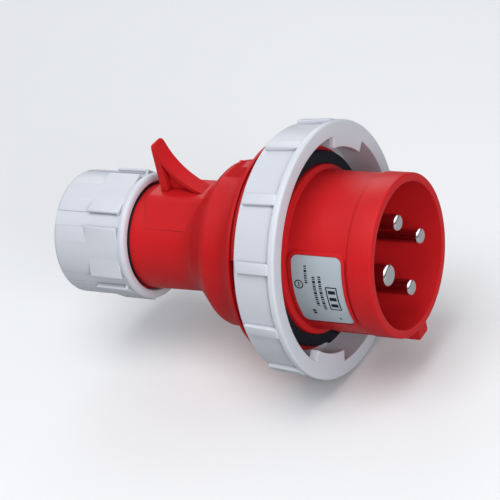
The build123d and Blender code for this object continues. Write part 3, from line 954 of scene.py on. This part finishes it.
@dataclass(frozen=True)
class GlandNut:
    """Large nut of the cable gland: a rolled lip, six spanner flats and shallow channels between them."""

    front: float = -104.3
    back: float = -136.2
    radius: float = 23.2
    thread_bore: float = 20.3
    lip_radius: float = 24.0
    lip_length: float = 3.4
    flat_count: int = 6
    flat_phase: float = 17.0
    flat_angle: float = 46.0
    flat_length: float = 13.4
    flat_sag: float = 0.15
    flat_round: float = 0.55
    flat_root: float = 20.6
    flat_overlap: float = 0.4
    channel_depth: float = 0.3
    channel_gap: float = 0.8
    entry: float = 12.4
    entry_bevel: float = 1.4
    end_wall: float = 4.4
    cone: float = 17.1
    cone_start: float = 9.6
    thread_end: float = -120.0
    mouth_round: float = 0.9
    edge_round: float = 1.6
    neck_round: float = 0.8
    entry_round: float = 0.4
    steps: int = 180

    def build(self, wardrobe: "Wardrobe") -> None:
        """Make the nut and dress it in place of its node.

        Args:
            wardrobe: the materials.
        """
        nut = self._body()
        flats, channels = Solid(), Solid()
        for k in range(self.flat_count):
            phase = self.flat_phase + k * 360 / self.flat_count
            flats.take(self._flat().turn(phase))
            channels.take(self._channel().turn(phase + 180 / self.flat_count))
        nut.combine(flats, Join.ADD).combine(channels, Join.CUT)
        piece = nut.piece("grip_nut", "gland_nut", Slot.GREY)
        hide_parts("gland_nut")
        wardrobe.dress(piece, Slot.GREY)

    def _body(self) -> Solid:
        """Turned body with its lip, back edge, cable entry and bore.

        Returns:
            The body.
        """
        seat = self.back + self.end_wall
        neck = self.front - self.lip_length
        return Solid.spun((
            (self.front, self.thread_bore, self.mouth_round),
            (self.front, self.lip_radius, self.edge_round), (neck, self.radius, self.neck_round),
            (self.back, self.radius, self.edge_round),
            (self.back, self.entry + self.entry_bevel, self.entry_round),
            (self.back + self.entry_bevel, self.entry, self.entry_round), (seat, self.entry),
            (seat, self.cone), (self.thread_end - self.cone_start, self.cone),
            (self.thread_end, self.thread_bore)), self.steps)

    def _flat(self) -> Solid:
        """One spanner flat at the top of the nut.

        Returns:
            The flat.
        """
        neck = self.front - self.lip_length
        front, back = neck + self.flat_overlap, neck - self.flat_length
        top = self.radius - self.flat_sag
        half = top * math.tan(math.radians(self.flat_angle / 2))
        root = self.flat_root
        flat = Solid.bar(((back, root), (back, top), (front, top), (front, root)), 2 * half)
        return flat.round_edges(self.flat_round, above=top - NEAR)

    def _channel(self) -> Solid:
        """Cutter of one shallow channel at the top of the nut.

        Returns:
            The cutter.
        """
        end = self.front - self.lip_length - self.channel_gap
        angle = 360 / self.flat_count - self.flat_angle
        floor = self.radius - self.channel_depth
        return Solid.arc_block(self.back - PAST, end, floor, self.radius + PAST, angle)


@dataclass(frozen=True)
class ContactPin:
    """Plated contact pin with a rounded nose, a neck in the carrier, and its wire barrel."""

    node: str
    radius: float
    phase: float
    circle: float = 13.2
    tip: float = -1.0
    nose_round: float = 1.3
    flat_margin: float = 0.06
    floor: float = -40.0
    neck: float = 0.4
    barrel_front: float = -48.0
    barrel_back: float = -63.0
    barrel_radius: float = 5.3
    wire_bore: float = 3.3
    wire_depth: float = 12.0
    screw_x: float = -54.0
    screw_hole: float = 2.5
    barrel_round: float = 0.3
    drill_point: float = 1.2
    sharp_angle: float = 40.0
    steps: int = 72

    def build(self, wardrobe: "Wardrobe") -> None:
        """Make the pin and dress it in place of its node.

        Args:
            wardrobe: the materials.
        """
        bore_end = self.barrel_back + self.wire_depth
        flat = self.radius - self.nose_round - self.flat_margin
        pin = Solid.spun((
            (self.tip, 0.0), (self.tip, flat), (self.tip, self.radius, self.nose_round),
            (self.floor, self.radius), (self.floor, self.radius + self.neck),
            (self.barrel_front, self.radius + self.neck),
            (self.barrel_front, self.barrel_radius, self.barrel_round),
            (self.barrel_back, self.barrel_radius, self.barrel_round), (self.barrel_back, self.wire_bore),
            (bore_end, self.wire_bore), (bore_end + self.drill_point, 0.0)), self.steps, closed=False)
        pin.combine(Solid.rod(self.screw_hole, 0.0, 2 * self.barrel_radius, self.screw_x), Join.CUT)
        pin.move((0.0, 0.0, self.circle)).turn(self.phase)
        piece = pin.piece(self.node + "_plated", "plug_body", Slot.CONTACT, self.sharp_angle)
        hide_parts(self.node)
        wardrobe.dress(piece, Slot.CONTACT)


@dataclass(frozen=True)
class TailThread:
    """Ridge of the thread on the tail, which shows when the nut is screwed back."""

    start: float = -107.4
    length: float = 10.6
    pitch: float = 3.0
    root: float = 19.8
    height: float = 0.42
    half_base: float = 0.75
    half_top: float = 0.25
    steps_per_turn: int = 72

    def build(self, wardrobe: "Wardrobe") -> None:
        """Make the ridge and dress it like the housing.

        Args:
            wardrobe: the materials.
        """
        ridge = Solid()
        crest = self.root + self.height
        corners = [(self.start + self.half_base, self.root), (self.start + self.half_top, crest),
                   (self.start - self.half_top, crest), (self.start - self.half_base, self.root)]
        face = ridge.bm.faces.new([ridge.bm.verts.new((x, 0.0, radius)) for x, radius in corners])
        turns = self.length / self.pitch
        steps = round(turns * self.steps_per_turn)
        bmesh.ops.spin(ridge.bm, geom=[face], cent=(0, 0, 0), axis=(1, 0, 0),
                       dvec=(-self.length / steps, 0, 0), angle=turns * math.tau, steps=steps,
                       use_merge=False)
        ridge.tidy()
        wardrobe.dress(ridge.piece("tail_thread", "plug_body", Slot.RED), Slot.RED)


@dataclass(frozen=True)
class MarkLine:
    """A broken line of print along the label's arc."""

    x: float
    middle: float
    length: float
    width: float
    dashes: Tuple[float, ...] = (0.5, 0.34, 0.85, 0.3, 0.6)
    space: float = 0.34

    def strokes(self) -> List[Tuple[float, float]]:
        """Middle and length of each dash, along the arc.

        Returns:
            The dashes, in order.
        """
        made, at, k = [], self.middle - self.length / 2, 0
        end = self.middle + self.length / 2
        while at < end - self.space:
            length = min(self.dashes[k % len(self.dashes)], end - at)
            made.append((at + length / 2, length))
            at += length + self.space
            k += 1
        return made


@dataclass(frozen=True)
class LabelPrint:
    """Plain marks in place of the label's print: broken lines, a frame with bars and a ring, a film thick."""

    surface: float = 28.48
    film: float = 0.03
    phase: float = 90.0
    frame_x: float = -16.2
    frame_middle: float = 1.6
    frame_length: float = 9.6
    frame_width: float = 4.4
    frame_line: float = 0.42
    ring_x: float = -28.6
    ring_middle: float = -3.4
    ring_radius: float = 1.7
    ring_line: float = 0.4
    ring_steps: int = 40
    strip_steps: int = 10
    lines: Tuple[MarkLine, ...] = (
        MarkLine(-25.6, -7.2, 6.4, 1.0), MarkLine(-22.6, -0.6, 12.0, 1.15),
        MarkLine(-20.3, -0.2, 13.4, 1.15),
        MarkLine(-25.2, 8.4, 2.8, 1.3, (0.9, 0.9)), MarkLine(-16.2, 11.4, 1.8, 0.7),
    )

    def build(self, wardrobe: "Wardrobe") -> None:
        """Make the marks and dress them.

        Args:
            wardrobe: the materials.
        """
        marks = Solid()
        for line in self.lines:
            for middle, length in line.strokes():
                marks.take(self._strip(line.x, middle, length, line.width))
        for x, middle, length, width in self._frame():
            marks.take(self._strip(x, middle, length, width))
        marks.take(self._ring())
        marks.take(self._strip(self.ring_x, self.ring_middle, self.ring_radius, self.ring_line))
        wardrobe.dress(marks.piece("label_marks", "plug_body", Slot.RUBBER), Slot.RUBBER)

    def _frame(self) -> List[Tuple[float, float, float, float]]:
        """Strips of the frame's four sides and of the plain bars in it.

        Returns:
            Place along X, place along the arc, length along the arc and width of each.
        """
        side = self.frame_width / 2 - self.frame_line / 2
        end = self.frame_length / 2 - self.frame_line / 2
        x, middle = self.frame_x, self.frame_middle
        strips = [(x + s * side, middle, self.frame_length, self.frame_line) for s in (-1, 1)]
        strips += [(x, middle + s * end, self.frame_line, self.frame_width) for s in (-1, 1)]
        thick = self.frame_length / 7
        width = self.frame_width - 4 * self.frame_line
        strips += [(x, middle + s * 2 * thick, thick, width) for s in (-1, 0, 1)]
        return strips

    def _strip(self, x: float, middle: float, length: float, width: float) -> Solid:
        """One bar that follows the label.

        Args:
            x: place along the axis.
            middle: arc length from the label's middle, positive downwards.
            length: arc length.
            width: width along the axis.

        Returns:
            The bar.
        """
        per_mm = math.degrees(1.0 / self.surface)
        return Solid.arc_block(x - width / 2, x + width / 2, self.surface - self.film / 3,
                               self.surface + self.film, length * per_mm, self.phase + middle * per_mm,
                               self.strip_steps)

    def _ring(self) -> Solid:
        """Thin ring that follows the label.

        Returns:
            The ring.
        """
        ring = Solid()
        bmesh.ops.create_circle(ring.bm, cap_ends=True, segments=self.ring_steps, radius=self.ring_radius)
        bmesh.ops.inset_region(ring.bm, faces=ring.bm.faces[:], thickness=self.ring_line, use_boundary=True)
        inner = min(ring.bm.faces, key=lambda face: face.calc_center_median().length_squared)
        bmesh.ops.delete(ring.bm, geom=[inner], context="FACES_ONLY")
        bmesh.ops.solidify(ring.bm, geom=ring.bm.faces[:], thickness=self.film)
        rise = self.surface + self.film - max(vertex.co.z for vertex in ring.bm.verts)
        for vertex in ring.bm.verts:
            arm = Vector((0.0, 0.0, rise + vertex.co.z))
            arm.rotate(Matrix.Rotation((vertex.co.y + self.ring_middle) / self.surface, 3, "X"))
            vertex.co = (vertex.co.x + self.ring_x, arm.y, arm.z)
        ring.tidy()
        return ring.turn(self.phase)


@dataclass(frozen=True)
class PhotoView:
    """The photograph's camera, fitted to the plug lying turned about its axis."""

    azimuth: float = 31.17
    elevation: float = 7.88
    lean: float = 24.5
    distance: float = 700.0
    focal_ratio: float = 2018.7 / 500.0
    slide_right: float = -55.25
    slide_up: float = 2.0

    def make(self) -> None:
        """Create the camera and make it the scene's."""
        turn, rise = math.radians(self.azimuth), math.radians(self.elevation)
        forward = Vector((-math.sin(turn) * math.cos(rise), math.cos(turn) * math.cos(rise), -math.sin(rise)))
        right = Vector((math.cos(turn), math.sin(turn), 0.0))
        up = right.cross(forward)
        centre = (right * self.slide_right + up * self.slide_up - forward * self.distance) * MM
        columns = Matrix((right, up, -forward)).transposed().to_4x4()
        data = bpy.data.cameras.new("photo_camera")
        data.lens = self.focal_ratio * data.sensor_width
        camera = placed("photo_camera", data)
        unlean = Matrix.Rotation(math.radians(-self.lean), 4, "X")
        camera.matrix_world = unlean @ Matrix.Translation(centre) @ columns
        bpy.context.scene.camera = camera


@dataclass(frozen=True)
class Lamp:
    """A soft area lamp that points at the plug, with its distance and size in metres."""

    name: str
    direction: Point
    distance: float
    size: float
    power: float
    glare: bool = True

    def make(self, target: Vector) -> None:
        """Create the lamp.

        Args:
            target: point that the lamp faces.
        """
        data = bpy.data.lights.new(self.name, "AREA")
        data.shape = "DISK"
        data.size = self.size
        data.energy = self.power
        lamp = placed(self.name, data)
        offset = Vector(self.direction).normalized()
        lamp.location = target + offset * self.distance
        lamp.visible_glossy = self.glare
        lamp.rotation_mode = "QUATERNION"
        lamp.rotation_quaternion = offset.to_track_quat("Z", "Y")


@dataclass(frozen=True)
class Studio:
    """Floor, world and lamps; the floor's size is in metres."""

    floor_drop: float = 0.4
    floor_size: float = 30.0
    floor_roughness: float = 0.9
    pale: Colour = (0.86, 0.87, 0.88)
    thrown: Colour = (0.42, 0.43, 0.44)
    mirrored: Colour = (0.36, 0.365, 0.37)
    sky: Colour = (0.94, 0.96, 1.0)
    dark_below: float = 0.2
    bright_above: float = 0.6
    low_light: float = 0.14
    high_light: float = 0.5
    glint: float = 1.8
    lamps: Tuple[Lamp, ...] = (
        Lamp("key_lamp", (0.02, -0.45, 1.2), 0.95, 0.8, 5.0),
        Lamp("front_lamp", (1.0, -0.75, 0.35), 1.0, 0.5, 5.4, False),
        Lamp("back_lamp", (-0.6, 1.0, 0.7), 1.0, 0.6, 1.5),
    )

    def make(self) -> None:
        """Create the floor, the world and the lamps."""
        low, high = CAD_BOX
        self._floor(low[2] - self.floor_drop * MM)
        self._world()
        target = (Vector(low) + Vector(high)) / 2
        for lamp in self.lamps:
            lamp.make(target)

    def _floor(self, height: float) -> None:
        """Make the floor, which is pale to the camera and throws less light back on the plug.

        Args:
            height: its place along Z, in metres.
        """
        mesh = bpy.data.meshes.new("floor")
        bm = bmesh.new()
        bmesh.ops.create_grid(bm, x_segments=1, y_segments=1, size=self.floor_size)
        bmesh.ops.translate(bm, vec=(0.0, 0.0, height), verts=bm.verts)
        bm.to_mesh(mesh)
        bm.free()
        floor = placed("floor", mesh)
        material = bpy.data.materials.new("floor")
        material.use_nodes = True
        graph = Graph(material.node_tree)
        shader = material.node_tree.nodes["Principled BSDF"]
        graph.join(self.floor_roughness, shader.inputs["Roughness"])
        rays = graph.add("ShaderNodeLightPath").outputs
        dull = graph.mixed(rays["Is Glossy Ray"], self.thrown, self.mirrored)
        graph.join(graph.mixed(rays["Is Camera Ray"], dull, self.pale), shader.inputs["Base Color"])
        mesh.materials.append(material)

    def _world(self) -> None:
        """Surroundings that are bright overhead, more so in reflections, and duller low down."""
        world = bpy.data.worlds.new("studio")
        bpy.context.scene.world = world
        world.use_nodes = True
        graph = Graph(world.node_tree)
        back = world.node_tree.nodes["Background"]
        where = graph.add("ShaderNodeTexCoord").outputs["Generated"]
        axes = graph.add("ShaderNodeSeparateXYZ", {0: where})
        height = graph.ramp(axes.outputs["Z"], self.dark_below, self.bright_above)
        graph.join(self.sky, back.inputs["Color"])
        growth = graph.math("MULTIPLY", height, self.high_light - self.low_light)
        light = graph.math("ADD", self.low_light, growth)
        glossy = graph.add("ShaderNodeLightPath").outputs["Is Glossy Ray"]
        glint = graph.math("MULTIPLY", glossy, graph.math("MULTIPLY", height, self.glint))
        graph.join(graph.math("MULTIPLY", light, graph.math("ADD", 1.0, glint)), back.inputs["Strength"])


def dress_frame_nodes(wardrobe: Wardrobe) -> None:
    """Give every node of the frame the finish of its slot.

    Args:
        wardrobe: the materials.
    """
    for entry in frame["record"]["subparts"]:
        wardrobe.dress(frame["nodes"][entry["node"]], Slot(entry["material_slot"]))
        LOG.info("dressed %s as %s", entry["node"], entry["material_slot"])


def main() -> None:
    """Build the looks in order."""
    logging.basicConfig(level=logging.INFO, format="%(name)s: %(message)s")
    bpy.context.scene.view_settings.view_transform = "Standard"
    wardrobe = Wardrobe()
    dress_frame_nodes(wardrobe)
    sub_assemblies = (
        Collar(), LockRing(), GlandNut(), TailThread(), LabelPrint(),
        ContactPin("pin_l1", 3.0, 0.0), ContactPin("pin_l2", 3.0, 180.0), ContactPin("pin_l3", 3.0, -90.0),
        ContactPin("pin_earth", 4.0, 90.0),
    )
    for sub_assembly in sub_assemblies:
        sub_assembly.build(wardrobe)
    PhotoView().make()
    Studio().make()


if __name__ == "__main__":
    main()
